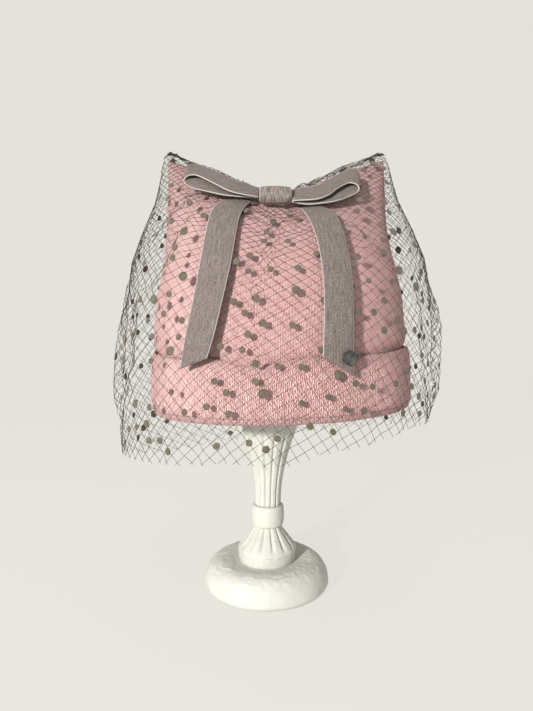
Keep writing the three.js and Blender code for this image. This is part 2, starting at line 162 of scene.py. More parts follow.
class Plan:
    """A material's or a group's nodes, laid out by name."""

    def __init__(self, tree):
        self.tree = tree

    def node(self, kind, **settings):
        made = self.tree.nodes.new(kind)
        for key, value in settings.items():
            setattr(made, key, value)
        return made

    def put(self, socket, value):
        if isinstance(value, bpy.types.NodeSocket):
            self.tree.links.new(value, socket)
        else:
            socket.default_value = value

    def fed(self, kind, values, **settings):
        """The first output of a node whose first inputs take these values."""
        made = self.node(kind, **settings)
        for socket, value in zip(made.inputs, values):
            self.put(socket, value)
        return made.outputs[0]

    def maths(self, operation, *values):
        return self.fed("ShaderNodeMath", values, operation=operation)

    def plus(self, first, second):
        return self.maths("ADD", first, second)

    def minus(self, first, second):
        return self.maths("SUBTRACT", first, second)

    def times(self, first, second):
        return self.maths("MULTIPLY", first, second)

    def spread(self, value, low, high, to_low=0.0, to_high=1.0):
        values = (value, low, high, to_low, to_high)
        return self.fed("ShaderNodeMapRange", values, interpolation_type="SMOOTHSTEP")

    def noise(self, where, scale, detail=3.0, roughness=0.55):
        made = self.node("ShaderNodeTexNoise")
        for label, value in (("Vector", where), ("Scale", scale), ("Detail", detail), ("Roughness", roughness)):
            self.put(made.inputs[label], value)
        return made.outputs["Fac"]

    def stretched(self, where, scale):
        made = self.node("ShaderNodeMapping")
        self.put(made.inputs["Vector"], where)
        self.put(made.inputs["Scale"], scale)
        return made.outputs[0]

    def split(self, where):
        made = self.node("ShaderNodeSeparateXYZ")
        self.put(made.inputs[0], where)
        return made.outputs

    def blend(self, factor, first, second):
        made = self.node("ShaderNodeMix", data_type="RGBA", blend_type="MIX")
        for index, value in ((0, factor), (6, whole(first)), (7, whole(second))):
            self.put(made.inputs[index], value)
        return made.outputs[2]

    def tint(self, tone, mask, weight, colour):
        """Lays a colour over a tone as far as a mask and a weight let it."""
        return self.blend(self.times(mask, weight), tone, colour)

    def flat_map(self, name="flat"):
        return self.node("ShaderNodeUVMap", uv_map=name).outputs[0]

    def object_place(self):
        return self.node("ShaderNodeTexCoord").outputs["Object"]


def new_group(name, inputs, outputs):
    group = bpy.data.node_groups.new(name, "ShaderNodeTree")
    for label, kind, value in inputs:
        socket = group.interface.new_socket(label, in_out="INPUT", socket_type=kind)
        if value is not None:
            socket.default_value = value
    for label in outputs:
        group.interface.new_socket(label, in_out="OUTPUT", socket_type="NodeSocketFloat")
    plan = Plan(group)
    return plan, plan.node("NodeGroupInput").outputs, plan.node("NodeGroupOutput").inputs


def place_group(plan, group, **values):
    made = plan.node("ShaderNodeGroup", node_tree=group)
    for label, value in values.items():
        plan.put(made.inputs[label], value)
    return made.outputs


def new_material(name, preview):
    material = bpy.data.materials.new(name)
    material.use_nodes = True
    material.diffuse_color = (*preview, 1)
    return material, Plan(material.node_tree)


def dress(material, plan, tone, relief, **plain):
    """Gives a material its colour, its relief (height, strength and distance) and its plain values."""
    shader = material.node_tree.nodes["Principled BSDF"]
    plan.put(shader.inputs["Base Color"], tone)
    for label, value in plain.items():
        plan.put(shader.inputs[label.replace("_", " ")], whole(value))
    if relief:
        made = plan.node("ShaderNodeBump")
        for label, value in zip(("Height", "Strength", "Distance"), relief):
            plan.put(made.inputs[label], value)
        plan.put(shader.inputs["Normal"], made.outputs[0])
    return material


# ---------------------------------------------------------------- materials
# The second pink is painted shade, laid into the grooves between the knit's stitches.
PINK, GROOVE_SHADE_PINK = (0.88, 0.49, 0.475), (0.52, 0.2, 0.2)


def stitch_group():
    """Knit stitches on a flat map in metres: V after V up each wale, with a groove between wales."""
    plan, given, out = new_group(
        "knit_stitches",
        [("Flat", "NodeSocketVector", None), ("Wale", "NodeSocketFloat", 0.0026),
         ("Course", "NodeSocketFloat", 0.002), ("Wander", "NodeSocketFloat", 0.3)],
        ["Height", "Groove_Shade", "Fuzz", "Stitch_Tone_And_Highlight"],
    )
    flat = plan.split(given["Flat"])

    def stitches(axis, size, where, scale, most):
        """Stitches counted along an axis of the map, each let stray a little."""
        stray = plan.times(plan.minus(plan.noise(where, scale, 2.0), 0.5), plan.times(given["Wander"], most))
        return plan.plus(plan.maths("DIVIDE", flat[axis], given[size]), stray)

    def arch(value, middle, steep, power):
        """1 at the middle, and less to both sides."""
        away = plan.maths("ABSOLUTE", plan.times(plan.minus(value, middle), steep))
        return plan.minus(1.0, plan.maths("POWER", away, power))

    elsewhere = plan.fed("ShaderNodeVectorMath", (given["Flat"], (3.1, 7.7, 0)), operation="ADD")
    u = stitches(0, "Wale", given["Flat"], 110.0, 4.0)
    v = stitches(1, "Course", elsewhere, 90.0, 6.0)
    off = plan.maths("ABSOLUTE", plan.minus(plan.maths("FRACT", u), 0.5))  # 0 in the middle, 0.5 in the groove
    leg = plan.maths("MAXIMUM", arch(off, 0.26, 3.9, 2.0), 0.0)
    slanted = plan.minus(v, plan.times(off, 1.9))
    strand = arch(plan.maths("FRACT", slanted), 0.5, 2.0, 1.7)
    height = plan.times(leg, plan.plus(0.15, plan.times(strand, 0.85)))
    cell = plan.fed("ShaderNodeCombineXYZ", (plan.maths("FLOOR", plan.times(u, 2.0)), plan.maths("FLOOR", slanted)))
    chance = plan.node("ShaderNodeTexWhiteNoise", noise_dimensions="2D")
    plan.put(chance.inputs["Vector"], cell)
    fuzz = plan.noise(given["Flat"], 2600.0, 2.0)
    plan.put(out["Height"], plan.plus(height, plan.times(fuzz, 0.25)))
    # Painted shade: this mask is 1 down in the grooves between stitches and 0 on the raised legs.
    plan.put(out["Groove_Shade"], plan.spread(height, 0.05, 0.7, 1.0, 0.0))
    plan.put(out["Fuzz"], fuzz)
    # Random tone from stitch to stitch, strongest on the raised legs, where its lighter colour is a painted highlight.
    plan.put(out["Stitch_Tone_And_Highlight"], plan.times(chance.outputs["Value"], plan.spread(height, 0.2, 0.8)))
    return plan.tree


# The last argument is how far painted shade darkens the knit's grooves.
def make_knit(name, stitches, wale, course, wander, depth, deep):
    material, plan = new_material(name, PINK)
    knit = place_group(plan, stitches, Flat=plan.flat_map(), Wale=wale, Course=course, Wander=wander)
    patches = plan.spread(plan.noise(plan.object_place(), 34.0), 0.3, 0.7)
    tone = plan.blend(patches, PINK, tuple(c * f for c, f in zip(PINK, (0.97, 0.9, 0.9))))
    # Painted shade in the grooves, then random stitch tone with a painted highlight on the raised legs, then lighter
    # fuzz.
    for mask, weight, colour in (
        ("Groove_Shade", deep, GROOVE_SHADE_PINK), ("Stitch_Tone_And_Highlight", 0.7, (1, 0.8, 0.74)), ("Fuzz", 0.16, (1, 0.86, 0.84)),
    ):
        tone = plan.tint(tone, knit[mask], weight, colour)
    return dress(
        material, plan, tone, (knit["Height"], 1.0, depth), Roughness=0.95, Specular_IOR_Level=0.15,
        Sheen_Weight=0.35, Sheen_Roughness=0.55, Sheen_Tint=(1, 0.86, 0.84))


def make_velvet(name, lines, painted_highlight):
    """A short pile with fine lines along it; the last argument is how far a painted highlight lightens the pile, where
    the nap of a gathered piece would catch the light.
    """
    material, plan = new_material(name, (0.3, 0.26, 0.23))
    flat, where = plan.flat_map("ribbon"), plan.object_place()
    edge = plan.maths("ABSOLUTE", plan.minus(plan.split(flat)[0], 0.5))
    cord = plan.spread(edge, 0.477, 0.486)
    pile = plan.noise(plan.stretched(flat, lines), 1.0, 3.0, 0.65)
    weft = plan.noise(plan.stretched(flat, (14, 1250, 1)), 1.0, 2.0, 0.6)
    tone = plan.blend(plan.spread(pile, 0.36, 0.64), (0.078, 0.063, 0.056), (0.188, 0.156, 0.14))
    layers = [
        (weft, 0.4, 0.6, 0.4, (0.185, 0.16, 0.146)),
        (plan.noise(where, 60.0, 2.0), 0.4, 0.7, 0.3, (0.13, 0.108, 0.1)),
        (plan.noise(where, 1400.0, 1.0), 0.56, 0.66, 0.5, (0.06, 0.049, 0.044)),
        (plan.noise(where, 1700.0, 2.0), 0.54, 0.64, 0.5, (0.37, 0.32, 0.288)),
    ]
    # Painted highlight: the pile is lightened, as where the knot's nap would catch the light.
    if painted_highlight:
        layers.append((pile, 0.42, 0.6, painted_highlight, (0.52, 0.475, 0.43)))
    for pattern, low, high, weight, colour in layers:
        tone = plan.tint(tone, plan.spread(pattern, low, high), weight, colour)
    tone = plan.blend(cord, tone, (0.44, 0.42, 0.38))
    height = plan.plus(plan.plus(plan.times(pile, 0.5), plan.times(weft, 0.5)), plan.times(cord, 1.5))
    return dress(
        material, plan, tone, (height, 0.7, 0.0003), Roughness=0.85, Specular_IOR_Level=0.2,
        Sheen_Weight=0.2, Sheen_Roughness=0.4, Sheen_Tint=(0.85, 0.8, 0.76))


def make_thread():
    material, plan = new_material("net_thread", (0.05, 0.045, 0.04))
    fibre = plan.noise(plan.object_place(), 900.0, 2.0)
    tone = plan.blend(fibre, (0.026, 0.02, 0.019), (0.075, 0.062, 0.058))
    return dress(material, plan, tone, (fibre, 0.4, 0.0001), Roughness=0.6, Specular_IOR_Level=0.3)


def make_flock():
    material, plan = new_material("net_flock", (0.24, 0.22, 0.15))
    where = plan.object_place()
    grain, broad = plan.noise(where, 1500.0, 3.0, 0.7), plan.noise(where, 160.0, 2.0)
    tone = plan.blend(plan.spread(grain, 0.3, 0.7), (0.062, 0.051, 0.036), (0.19, 0.163, 0.118))
    tone = plan.tint(tone, plan.spread(broad, 0.35, 0.65), 0.4, (0.07, 0.058, 0.04))
    return dress(
        material, plan, tone, (grain, 0.8, 0.0003), Roughness=0.9, Specular_IOR_Level=0.15, Sheen_Weight=0.3)


def make_chalk():
    material, plan = new_material("chalk_white", (0.85, 0.85, 0.8))
    where = plan.object_place()
    brush = plan.noise(plan.stretched(where, (1, 1, 3)), 190.0, 4.0, 0.6)
    fine, patch = plan.noise(where, 1300.0, 2.0), plan.noise(where, 45.0, 2.0)
    tone = plan.blend(plan.spread(patch, 0.35, 0.7), (0.595, 0.597, 0.545), (0.565, 0.563, 0.512))
    tone = plan.tint(tone, plan.spread(brush, 0.55, 0.75), 0.4, (0.52, 0.515, 0.465))
    height = plan.plus(plan.times(brush, 0.8), plan.times(fine, 0.2))
    return dress(material, plan, tone, (height, 0.5, 0.0008), Roughness=0.75, Specular_IOR_Level=0.3)


def make_gunmetal():
    material, plan = new_material("gunmetal", (0.06, 0.07, 0.065))
    tarnish = plan.noise(plan.object_place(), 420.0)
    tone = plan.blend(plan.spread(tarnish, 0.35, 0.7), (0.05, 0.05, 0.046), (0.115, 0.115, 0.105))
    rough = plan.spread(tarnish, 0.3, 0.7, 0.48, 0.62)
    return dress(material, plan, tone, (tarnish, 0.25, 0.0002), Roughness=rough, Metallic=0.7)


def make_backdrop_paint():
    material, plan = new_material("backdrop_paint", (0.77, 0.75, 0.7))
    mottle = plan.noise(plan.object_place(), 3.0, 2.0)
    tone = plan.blend(mottle, (0.092, 0.0895, 0.083), (0.087, 0.0845, 0.078))
    return dress(
        material, plan, tone, None, Emission_Color=(0.72, 0.7, 0.652), Emission_Strength=1.0, Roughness=1.0,
        Specular_IOR_Level=0.0)


# ---------------------------------------------------------------- shape helpers
def eased(rows, column, at):
    """A column of a section table at shares of the height, with a smooth run from row to row."""
    x, y = rows[:, 0], rows[:, column]
    step = np.diff(x)
    rate = np.diff(y) / step
    slope = np.zeros(len(x))
    same = rate[:-1] * rate[1:] > 0
    slope[1:-1][same] = 2 * rate[:-1][same] * rate[1:][same] / (rate[:-1] + rate[1:])[same]
    slope[0], slope[-1] = rate[0], rate[-1]
    at = np.clip(at, x[0], x[-1])
    k = np.clip(np.searchsorted(x, at, side="right") - 1, 0, len(x) - 2)
    t = (at - x[k]) / step[k]
    return (
        y[k] * (1 + 2 * t) * (1 - t) ** 2 + step[k] * slope[k] * t * (1 - t) ** 2
        + y[k + 1] * t**2 * (3 - 2 * t) - step[k] * slope[k + 1] * t**2 * (1 - t)
    )


def smooth(value, low, high):
    t = np.clip((value - low) / (high - low), 0, 1)
    return t * t * (3 - 2 * t)


def settle(x, y, z):
    """The hat sits a little askew. From hat millimetres to metres on the stand."""
    lift = SLOPE_AT_RIM * x * (1 - z / (RIDGE + EAR_RISE))
    return np.stack([x - DRIFT * z + HAT_X, y, z + lift + RIM], axis=-1) * MM


def seam_height(x):
    climb = np.clip((np.abs(x) - SEAM_FLAT) / (EAR_HALF_SPAN - SEAM_FLAT), 0, 1)
    return EAR_RISE * climb * (1.15 - 0.15 * climb)


def waves(x, y, z, size, seed):
    """Soft unevenness between -1 and 1, the same each time."""
    total = 0
    dice = np.random.default_rng(seed)
    for _ in range(7):
        way = dice.normal(size=3)
        way *= dice.uniform(0.7, 1.6) * 2 * math.pi / size / np.linalg.norm(way)
        total = total + np.sin(x * way[0] + y * way[1] + z * way[2] + dice.uniform(0, 2 * math.pi))
    return total / 4

def bent(four, t):
    """A smooth curve's place between the middle two of four points."""
    a, b, c, d = four
    return 0.5 * (2 * b + (c - a) * t + (2 * a - 5 * b + 4 * c - d) * t**2 + (3 * b - 3 * c + d - a) * t**3)


def open_run(points, at):
    """A smooth curve through the points, at shares of its way."""
    points = np.asarray(points, float)
    ends = np.concatenate([[2 * points[0] - points[1]], points, [2 * points[-1] - points[-2]]])
    place = np.clip(at, 0, 1) * (len(points) - 1)
    k = np.minimum(np.floor(place).astype(int), len(points) - 2)
    return bent([ends[k + n] for n in range(4)], (place - k)[:, None])


def closed_run(points, at):
    """A smooth closed curve through the points, at shares of its way round."""
    place = at * len(points)
    k, rows = np.floor(place).astype(int), np.arange(len(at))
    return bent([points[(k + n) % len(points), rows] for n in (-1, 0, 1, 2)], (place - np.floor(place))[:, None])


def run_of(line):
    """How far along a line each of its points is."""
    return np.concatenate([[0], np.cumsum(np.linalg.norm(np.diff(line, axis=0), axis=1))])


def halves(rows, rise):
    """The half width and half depth of a section table, straight from row to row."""
    return (np.interp(rise, rows[:, 0], rows[:, k]) for k in (1, 2))


def laid(name, across, along, place, flat, uv_name="flat", close=True):
    """A grid of that many faces, each corner moved to place(u, v), with a flat map of flat(u, v)."""
    deselect()
    bpy.ops.mesh.primitive_grid_add(x_subdivisions=across, y_subdivisions=along, size=1)
    piece = bpy.context.object
    piece.name = piece.data.name = name
    mesh = piece.data
    u, v = np.clip(corners_of(mesh)[:, :2] + 0.5, 0, 1).T
    mesh.vertices.foreach_set("co", place(u, v).ravel())
    used = np.zeros(len(mesh.loops), np.int32)
    mesh.loops.foreach_get("vertex_index", used)
    layer = mesh.uv_layers[0]
    layer.name = uv_name
    layer.data.foreach_set("uv", np.stack(flat(u[used], v[used]), axis=-1).astype(np.float32).ravel())
    mesh.update()
    if close:
        edit_mode()
        bpy.ops.mesh.remove_doubles(threshold=2e-5)
        bpy.ops.mesh.normals_make_consistent(inside=False)
        object_mode()
    bpy.ops.object.shade_smooth()
    return piece


def apply_all(piece):
    pick(piece)
    for modifier in list(piece.modifiers):
        bpy.ops.object.modifier_apply(modifier=modifier.name)


def face_outward(piece):
    """Turns a piece's faces over if together they enclose a negative volume."""
    mesh = piece.data
    mesh.calc_loop_triangles()
    used = np.zeros(3 * len(mesh.loop_triangles), np.int32)
    mesh.loop_triangles.foreach_get("vertices", used)
    a, b, c = corners_of(mesh)[used.reshape(-1, 3)].transpose(1, 0, 2)
    if (a * np.cross(b, c)).sum() < 0:
        pick(piece)
        edit_mode()
        bpy.ops.mesh.flip_normals()
        object_mode()


def finish_piece(piece, material, slot, *nodes):
    face_outward(piece)
    if material:
        piece.data.materials.clear()
        piece.data.materials.append(material)
    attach(piece, "root")
    if nodes:
        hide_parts(*nodes)


def thicken(piece, offset):
    """Gives a flat ribbon its thickness, to both sides or to one."""
    thick = piece.modifiers.new("pile", "SOLIDIFY")
    thick.thickness, thick.offset = PILE * MM, offset
    apply_all(piece)


# ---------------------------------------------------------------- stand
SLIGHT = 1e-5  # metres: less than this isn't worth moving


def turned(name, rows, sides, flutes, lean, rings):
    """Drawn up ring by ring from a disc. Each row: height, radius, depth of its flutes, droop of its ribs."""
    rows = np.array([(*row, 0, 0)[:4] for row in rows], float)
    rows = open_run(rows, np.linspace(0, 1, rings)) * MM
    foot, start = rows[0][:2]
    deselect()
    bpy.ops.mesh.primitive_circle_add(
        vertices=sides, radius=start, fill_type="NGON", location=(lean * foot, 0, foot))
    piece = bpy.context.object
    piece.name = piece.data.name = name
    bpy.ops.object.transform_apply(location=True, rotation=False, scale=False)
    edit_mode()
    for (z0, r0, _, _), (z1, r1, _, _) in zip(rows, rows[1:]):
        bpy.ops.mesh.extrude_region_move(
            TRANSFORM_OT_translate={"value": (lean * (z1 - z0), 0, z1 - z0)})
        bpy.ops.transform.resize(value=(r1 / r0, r1 / r0, 1), center_override=(lean * z1, 0, z1))
    if flutes:
        cut_flutes(piece, rows, flutes, lean)
    edit_mode()
    bpy.ops.mesh.normals_make_consistent(inside=False)
    object_mode()
    bpy.ops.object.shade_smooth_by_angle(angle=math.radians(50))
    return piece


def cut_flutes(piece, rows, flutes, lean):
    """Draws the corners of each ring in towards the axis where a flute runs, and lets the ribs droop."""
    object_mode()
    turn = np.array([math.atan2(v.co.y, v.co.x - lean * v.co.z) for v in piece.data.vertices])
    height = np.array([v.co.z for v in piece.data.vertices])
    groove = np.round(flute_depth(turn * flutes), 3)
    for z, radius, deep, droop in rows:
        for share in np.unique(groove) if max(deep, droop) > SLIGHT else ():
            size, fall = 1 - share * max(deep, 0) / radius, -droop * (1 - share) ** 1.5
            if size > 0.999 and fall > -SLIGHT:
                continue
            edit_mode("DESELECT", "VERT")
            object_mode()
            here = (np.abs(height - z) < 1e-6) & (np.abs(groove - share) < 0.0005)
            piece.data.vertices.foreach_set("select", here)
            bpy.ops.object.mode_set(mode="EDIT")
            bpy.ops.transform.resize(value=(size, size, 1), center_override=(lean * z, 0, z))
            if fall < -SLIGHT:
                bpy.ops.transform.translate(value=(0, 0, fall))


def flute_depth(turn):
    """A broad flat rib and a narrow round groove, from 0 on the rib to 1 in the groove."""
    away = np.abs((turn + math.pi) % (2 * math.pi) - math.pi) / math.pi  # 0 at the groove, 1 mid-rib
    return np.clip(1 - away / 0.42, 0, 1) ** 0.8


def cast_relief(piece, kind, size, depth, up, down=None, out=None):
    """Uneven casting: a cloudy or veined pattern, from the height up on, below down, and outside the radius out."""
    corner = corners_of(piece.data) / MM
    share = smooth(corner[:, 2], *up)
    if down:
        share = share * (1 - smooth(corner[:, 2], *down))
    if out:
        share = share * smooth(np.hypot(corner[:, 0], corner[:, 1]), *out)
    group = piece.vertex_groups.new(name="relief")
    for level in range(1, 11):
        members = np.flatnonzero(np.round(share * 10) == level)
        if len(members):
            group.add(members.tolist(), level / 10, "REPLACE")
    pattern = bpy.data.textures.new("cast_" + kind.lower(), kind)
    pattern.noise_scale = size
    if kind == "WOOD":
        pattern.wood_type, pattern.turbulence = "RINGNOISE", 14
    push = piece.modifiers.new("relief", "DISPLACE")
    push.texture, push.vertex_group, push.strength, push.mid_level = pattern, group.name, depth, 0.5
    apply_all(piece)
    piece.vertex_groups.clear()


def make_stand(chalk):
    def stand_piece(part, rows, sides, flutes, lean, rings, *reliefs):
        piece = turned("chalk_" + part, rows, sides, flutes, lean, rings)
        for relief in reliefs:
            cast_relief(piece, *relief)
        finish_piece(piece, chalk, "stand_white", "stand_" + part)

    stand_piece("base", [
        (0, 44.5), (0.5, 46), (1.6, 48.2), (4.5, 50), (9.5, 49.5), (14.5, 47.5), (18.3, 44.4),
        (20.3, 41.4), (21.3, 38.6), (21.7, 36.2), (21.6, 33.8), (21.3, 31.2), (20.8, 28.2), (20.3, 25.4),
        (20.0, 22), (19.9, 14),
    ], 180, 0, 0.0, 90,
        ("CLOUDS", 0.008, 0.0008, (1, 5), None, (24, 28)), ("WOOD", 0.008, 0.0004, (13, 18), None, (29, 33)))
    stand_piece("foot", [
        (19.8, 21.6), (20.3, 22.3), (21.5, 22.7), (23.5, 23), (26, 23.2), (28.3, 23.4, 0.1, 0.1),
        (29.5, 23.6, 0.3, 0.7), (30.5, 23.6, 0.7, 1.1), (31.6, 23.0, 1.2, 0.9), (33.4, 21.6, 2.0, 0.6),
        (36, 19.2, 2.1), (39, 16.6, 2.0), (42, 14.2, 1.8), (45, 12.1, 1.4), (47.2, 10.8, 1.1),
    ], 168, 14, LEAN, 46, ("CLOUDS", 0.006, 0.0006, (19.5, 22), (44, 47)))
    stand_piece("band", [
        (47.5, 10.8), (47.7, 11.6), (48.6, 12.6), (51, 13), (56, 13.2), (60.5, 13.1), (62.8, 12.7),
        (63.9, 12), (64.2, 11.0),
    ], 96, 0, LEAN, 40, ("CLOUDS", 0.005, 0.0005, (48, 50), (61, 63)))
    stand_piece("stem", [
        (64.5, 10.5, 1.2), (68, 10.5, 1.3), (74, 10.6, 1.3), (80, 10.9, 1.4), (88, 12, 1.5), (96, 13.5, 1.6),
        (103, 15.2, 1.6), (110, 17, 1.6), (117, 19.2, 1.6), (124, 21.5, 1.5), (132, 23.8, 1.4), (140, 26, 1.2),
        (149, 28.5, 0.9), (156, 30.1, 0.6), (160, 30.8, 0), (164.5, 31, 0),
    ], 168, 14, LEAN, 40)
    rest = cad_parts["hat_rest"]
    rest.data.materials.clear()
    rest.data.materials.append(chalk)


# ---------------------------------------------------------------- crown
def sag(along):
    return 2 * np.abs(along) ** 1.5


def crown_place(turn, rise, inset):
    across, along = np.cos(turn), np.sin(turn)
    half_width, half_depth = eased(CROWN_ROWS, 1, rise), eased(CROWN_ROWS, 2, rise)
    top = RIDGE + seam_height(EAR_HALF_SPAN * across) - inset
    bottom = WALL + CUFF_FLOOR - sag(along)
    dent = 5 * np.exp(-(((np.abs(across) - 0.8) / 0.13) ** 2))
    dent = dent * smooth(rise, 0.45, 0.75) * (1 - smooth(rise, 0.9, 1))
    depth = np.maximum(0, half_depth - inset) - dent * np.abs(along)
    x, y, z = (half_width - inset) * across, np.maximum(0, depth) * along, bottom + rise * (top - bottom)
    uneven = waves(x, y, z, 75, 4) * 0.9 * smooth(rise, 0.2, 0.4) * (1 - smooth(rise, 0.85, 0.97)) * (inset < 1)
    return settle(x + uneven * across, y + uneven * along, z)


def make_crown(knit):
    inside = 0.12  # the share of the rows that lines the inside

    def rise_of(v):
        return np.where(v < inside, 1 - v / inside, (v - inside) / (1 - inside))

    def place(u, v):
        turn = 2 * math.pi * u - math.pi / 2
        outer, inner = (crown_place(turn, rise_of(v), inset) for inset in (0.0, WALL))
        return np.where((v < inside)[:, None], inner, outer)

    crown = laid("knit_crown", 300, 132, place, lambda u, v: (0.572 * u, 0.205 * rise_of(v)))
    finish_piece(crown, knit, "pink_knit", "crown")


# ---------------------------------------------------------------- cuff
CUFF_HALF_WIDTH, CUFF_HALF_DEPTH, LEAF = 102.5, 90.0, 4.4
CUFF_AT_SIDES, CUFF_AT_FRONT = 46.6, 38.0
# Where the front of the cuff's top edge rises or dips: place across, width and height.
CUFF_DIPS = ((-19, 13, -3.4), (18, 16, 1.6), (-55, 14, 1.2))


def make_cuff(knit):
    def top_of(across, along):
        x = CUFF_HALF_WIDTH * across
        top = CUFF_AT_SIDES + (CUFF_AT_FRONT - CUFF_AT_SIDES) * np.abs(along) ** 1.5
        dip = sum(high * np.exp(-(((x - at) / wide) ** 2)) for at, wide, high in CUFF_DIPS)
        return top + np.where(along < 0, dip, 0) + 0.7 * waves(x, 60 * along, 0, 40, 9)

    def place(u, v):
        turn = -2 * math.pi * u - math.pi / 2
        across, along = np.cos(turn), np.sin(turn)
        top = top_of(across, along)
        floor, inner = CUFF_FLOOR + WALL - GAP, LEAF + GAP + WALL
        rows = [  # round the section: how far in, and how high
            (0.5, 3.5), (-0.3, top * 0.12), (-0.5, top * 0.3), (-0.4, top * 0.55), (-0.3, top * 0.8),
            (0.4, top - 3), (1.4, top - 0.3), (2.8, top + 0.3), (LEAF - 0.5, top - 1), (LEAF, top - 4),
            (LEAF, top * 0.5), (LEAF, floor + 1), (LEAF + 0.7, floor), (inner - 0.6, floor), (inner, floor - 1),
            (inner - 1, 1.0), (inner / 2 + 1, -0.7), (inner / 2 - 1.2, -0.6), (1.4, 1.0),
        ]
        points = np.array([np.stack(np.broadcast_arrays(inset, z, top)[:2], axis=-1) for inset, z in rows])
        inward, z = closed_run(points, v).T
        uneven = 0.8 * waves(100 * across, 90 * along, z, 45, 5)
        x = (CUFF_HALF_WIDTH - inward + uneven) * across
        y = (CUFF_HALF_DEPTH - inward + uneven) * along
        return settle(x, y, z - sag(along) * (1 - np.maximum(0, z - 5) / top))

    cuff = laid("knit_cuff", 360, 76, place, lambda u, v: (0.605 * u, 0.125 * v))
    finish_piece(cuff, knit, "pink_knit", "cuff")


# ---------------------------------------------------------------- veil
EDGE = 6.45  # a side of a diamond of the net
LEG_RIGHT = EDGE * np.array([math.cos(math.radians(32)), math.sin(math.radians(32))])
LEG_LEFT = EDGE * np.array([-math.cos(math.radians(46)), math.sin(math.radians(46))])
FRONT_LONG, BACK_LONG = 262.0, 290.0  # how far down the cut net reaches from the seam
GATHER = 0.64  # the share of their full size that the diamonds have where the net is gathered, near the seam
DOT_AREA = 310.0  # one dot for so many square millimetres
EASE = 0.06  # how much wider than its form the net is cut, from some way down
THREAD_RADIUS, KNOT_RADIUS, DOT_THICKNESS = 0.165, 0.36, 0.3
BIG_DOT, SMALL_DOT, BIG_SHARE = (3.0, 3.4), (2.15, 2.65), 0.22  # the least and most radius, and how many are big
DOT_SIDES = 10
STEPS, QUICK_STEPS = 360, 60  # of the net's fall
KEPT_SPEED, FALL, FASTEST = 0.97, 0.05, 1.5  # at each step: share kept, and millimetres
STUCK, SLOWED = 0.12, 0.3  # a knot that slides less in a step stays, and a faster one loses this share
FRAY_LOOPS, SEAM_END = 170, 97  # loose loops, and how far from the middle the seam goes
REACH = 80  # rows and columns of the lattice laid out each way, more than the net has
FORM_STEPS, RING_STEPS = 160, 80  # down the form, and round a quarter of it
TIGHT_TO, FULL_FROM = 110, 250  # how far from the seam the gathers are tight, and where they end, on the net let out
TIED_HALF, TIED_CLOSE = (22, 7), 0.5  # the part that the bow ties, and how close it draws it across
CREASE_STEPS, CREASE_FADE, RUMPLE = 60, 9, 0.95  # points along a crease, those that fade at an end, and crumpling
TAIL_CLEAR, TAIL_NEAR, TAIL_FULL = 2.1, -9, -2.5  # behind a tail, and where beside it the pressing starts and is full
DOT_TRIES, DOT_APART = 60000, (7.5, 14)

# What the net lies on, and how far out it may stand: the rise, half width and half depth.
FORM_ROWS = np.array([
    (0.0, 120.5, 95.5), (0.125, 121.5, 95.5), (0.25, 122.5, 95.5), (0.375, 122, 94), (0.5, 119.5, 90),
    (0.6, 117, 83.5), (0.7, 108.5, 73), (0.8, 98.5, 58.5), (0.875, 94.5, 43.5), (0.93, 92.3, 30),
    (0.955, 91, 23), (0.98, 90, 11), (1.0, 89, 1.2),
])
OUTER_ROWS = np.array([
    (0.0, 126, 99), (0.125, 128.5, 98), (0.25, 129.5, 97.2), (0.42, 129, 95.5), (0.48, 127, 92.8),
    (0.535, 125, 90), (0.59, 122, 86), (0.646, 117, 80.5), (0.703, 112, 74), (0.759, 106, 66.5),
    (0.814, 100.5, 58), (0.87, 97, 47.5), (0.93, 94, 34), (0.955, 92.5, 27), (1.0, 91, 8),
])

HEM_LIFT = ((-120, -35, -12, 5, 20, 50, 85, 120), (5, 5, 1, 1, 6, 7, 12, 11))  # an uneven cut, by place across
HEM_SHIFT = -6.0  # the cut edge hangs a little to the left
TIE = np.array([-5.0, -37.0])  # where the bow gathers the net, on the flat
# Knots so far along the seam that the ears hold up, and where.
PEAKS = [(-97, (-88, 0, 206.5)), (-88, (-80.5, 0, 205.5)), (97, (90, 0, 207.5))]


# How far above the hat's seam the net may stand, by place across.
OVER_SEAM = (
    (-97, -91, -87, -82, -76, -66, -50, -25, 0, 25, 50, 66, 76, 82, 87, 92, 97),
    (-4, 2.5, 6.2, 6.6, 4.6, 2.6, 1.9, 1.9, 1.9, 2.0, 2.4, 3.4, 4.8, 6.2, 6.6, 3.0, -4),
)


def form_height(x):
    return RIDGE + 1.3 + 1.3 * seam_height(x)


def form_point(turn, rise, out):
    half_width, half_depth = halves(FORM_ROWS, rise)
    x, y = (half_width + out) * np.cos(turn), (half_depth + out) * np.sin(turn)
    return np.stack([x, y, HEM + rise * (form_height(x) - HEM)], axis=-1)


def above_form(p, rows=FORM_ROWS):
    """How far points are outside a shape, such as the one that the net lies on, and which way is out."""
    def depth_at(q):
        top = form_height(q[:, 0])
        rise = (q[:, 2] - HEM) / (top - HEM)
        half_width, half_depth = halves(rows, np.clip(rise, -0.3, 1))
        middle = HEM_SHIFT * np.clip(1 - rise / 0.4, 0, 1)
        ring = np.sqrt(((q[:, 0] - middle) / half_width) ** 2 + (q[:, 1] / half_depth) ** 2) - 1
        return ring * np.minimum(half_width, half_depth) + 2 * np.maximum(0, rise - 1) * (top - HEM)

    step = 0.25
    depth = depth_at(p)
    way = np.stack([(depth_at(p + step * axis) - depth) / step for axis in np.eye(3)], axis=-1)
    size = np.linalg.norm(way, axis=1) + 1e-9
    return depth / size, way / size[:, None]


